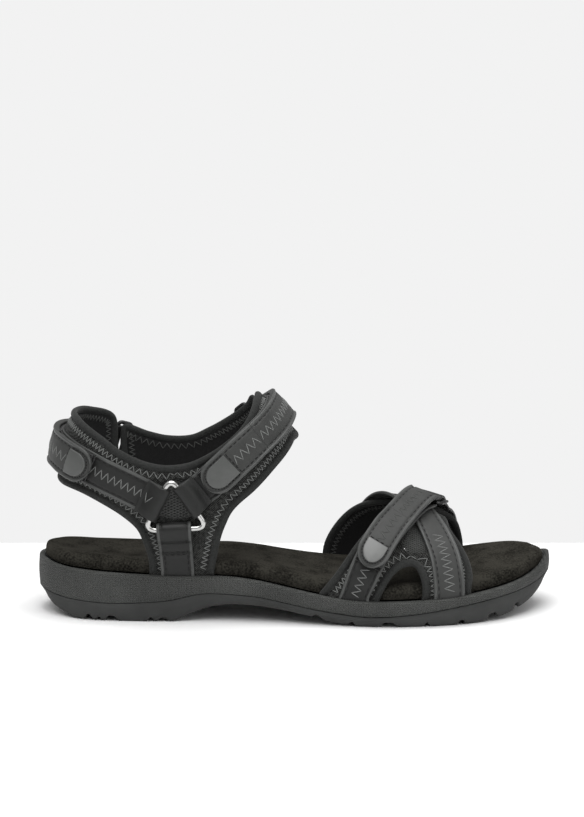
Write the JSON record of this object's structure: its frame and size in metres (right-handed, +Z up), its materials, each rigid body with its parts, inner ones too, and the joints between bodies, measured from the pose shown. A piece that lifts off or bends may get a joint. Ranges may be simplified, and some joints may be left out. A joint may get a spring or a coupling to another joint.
{
  "type": "strappy sport sandal",
  "caption": "Open sport sandal, left foot: contoured sole, padded quarters, and hook-and-loop straps that fold back through wire rings at heel, instep and forefoot.",
  "frame": {"origin": "centre of the bounding box at the ground plane, under the arch", "axes": "+X heel to toe along the length, +Y towards the medial (big toe) side, +Z up"},
  "size_m": [0.255, 0.0932, 0.1092],
  "materials": {
    "outsole_rubber": "matt moulded rubber",
    "midsole_foam": "matt moulded foam, finely knurled",
    "lasting_board": "compressed fibre board",
    "footbed_foam": "soft foam",
    "footbed_suede": "brushed suede",
    "padded_knit": "foam-backed heather knit with bound edges",
    "open_mesh": "open polyester mesh",
    "strap_leather": "soft coated leather with zigzag stitching",
    "hook_and_loop": "hook and loop tape",
    "tab_patch_dark": "smooth moulded patch",
    "tab_patch_light": "smooth moulded patch",
    "ring_chrome": "polished plated wire",
    "buckle_wire": "dark plated wire"
  },
  "bodies": {
    "sandal": {"outsole": "outsole_rubber", "midsole": "midsole_foam", "lasting_board": "lasting_board", "footbed_core": "footbed_foam", "footbed_cover": "footbed_suede", "lateral_quarter_pad": "padded_knit", "lateral_mesh_panel": "open_mesh", "ring_loop_tab": "strap_leather", "triangle_ring": "ring_chrome", "heel_strap_run": "strap_leather", "heel_loop_pad": "hook_and_loop", "heel_buckle": "buckle_wire", "instep_strap_run": "strap_leather", "instep_loop_pad": "hook_and_loop", "instep_buckle": "buckle_wire", "medial_quarter_pad": "padded_knit", "medial_heel_anchor": "strap_leather", "medial_instep_anchor": "strap_leather", "medial_stem_strap": "strap_leather", "forefoot_lateral_pad": "padded_knit", "forefoot_lateral_mesh": "open_mesh", "forefoot_cross_strap": "strap_leather", "forefoot_strap_run": "strap_leather", "forefoot_loop_pad": "hook_and_loop", "forefoot_buckle": "buckle_wire", "forefoot_anchor_strap": "strap_leather", "forefoot_medial_pad": "padded_knit"},
    "heel_strap": {"heel_strap_return": "strap_leather"},
    "heel_tab": {"heel_tab_end": "strap_leather", "heel_hook_pad": "hook_and_loop", "heel_tab_patch": "tab_patch_dark"},
    "instep_strap": {"instep_strap_return": "strap_leather"},
    "instep_tab": {"instep_tab_end": "strap_leather", "instep_hook_pad": "hook_and_loop", "instep_tab_patch": "tab_patch_dark"},
    "forefoot_strap": {"forefoot_strap_return": "strap_leather"},
    "forefoot_tab": {"forefoot_tab_end": "strap_leather", "forefoot_hook_pad": "hook_and_loop", "forefoot_tab_patch": "tab_patch_light"}
  },
  "joints": [
    {"name": "heel_strap_hinge", "type": "hinge", "parent": "sandal", "child": "heel_strap", "pos_m": [-0.09534, 0.03581, 0.07888], "axis": [-0.2529, -0.0567, -0.9658], "range_deg": [0, 60]},
    {"name": "heel_tab_hinge", "type": "hinge", "parent": "heel_strap", "child": "heel_tab", "pos_m": [-0.11915, -0.01076, 0.08307], "axis": [-0.216, 0.0425, -0.9755], "range_deg": [0, 70]},
    {"name": "instep_strap_hinge", "type": "hinge", "parent": "sandal", "child": "instep_strap", "pos_m": [-0.01577, 0.03453, 0.09258], "axis": [-0.6275, -0.0184, 0.7784], "range_deg": [0, 60]},
    {"name": "instep_tab_hinge", "type": "hinge", "parent": "instep_strap", "child": "instep_tab", "pos_m": [-0.01712, -0.0301, 0.09142], "axis": [-0.6284, 0.0107, 0.7778], "range_deg": [0, 70]},
    {"name": "forefoot_strap_hinge", "type": "hinge", "parent": "sandal", "child": "forefoot_strap", "pos_m": [0.06252, -0.00215, 0.05926], "axis": [-0.8023, 0.5277, 0.2791], "range_deg": [0, 50]},
    {"name": "forefoot_tab_hinge", "type": "hinge", "parent": "forefoot_strap", "child": "forefoot_tab", "pos_m": [0.04962, -0.02684, 0.05153], "axis": [-0.7937, 0.4067, 0.4524], "range_deg": [0, 60]}
  ]
}
